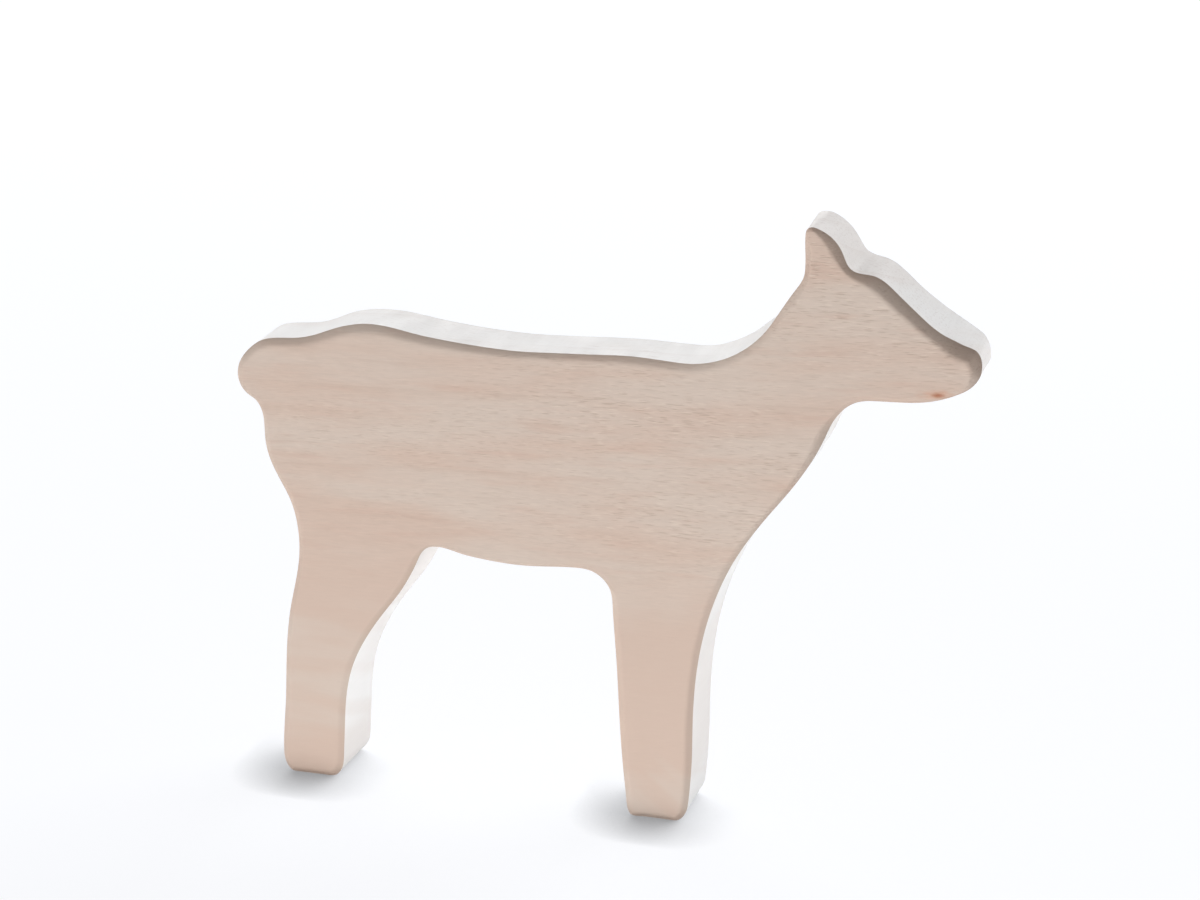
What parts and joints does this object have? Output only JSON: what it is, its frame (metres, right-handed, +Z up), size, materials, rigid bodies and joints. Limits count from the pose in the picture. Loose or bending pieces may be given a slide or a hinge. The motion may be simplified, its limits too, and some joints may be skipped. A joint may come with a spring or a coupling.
{
  "type": "deer figurine",
  "caption": "Flat standing doe silhouette sawn from a single pale hardwood board with softly rounded edges, free-standing table ornament.",
  "frame": {"origin": "on the table, midway between tail and nose and midway between the two faces", "axes": "+X towards the nose, +Y through the board to the far face, +Z up"},
  "size_m": [0.1686, 0.018, 0.1394],
  "materials": {
    "wood": "pale fine-grained hardwood, sanded, matt"
  },
  "bodies": {
    "root": {"deer_board": "wood"}
  },
  "joints": []
}
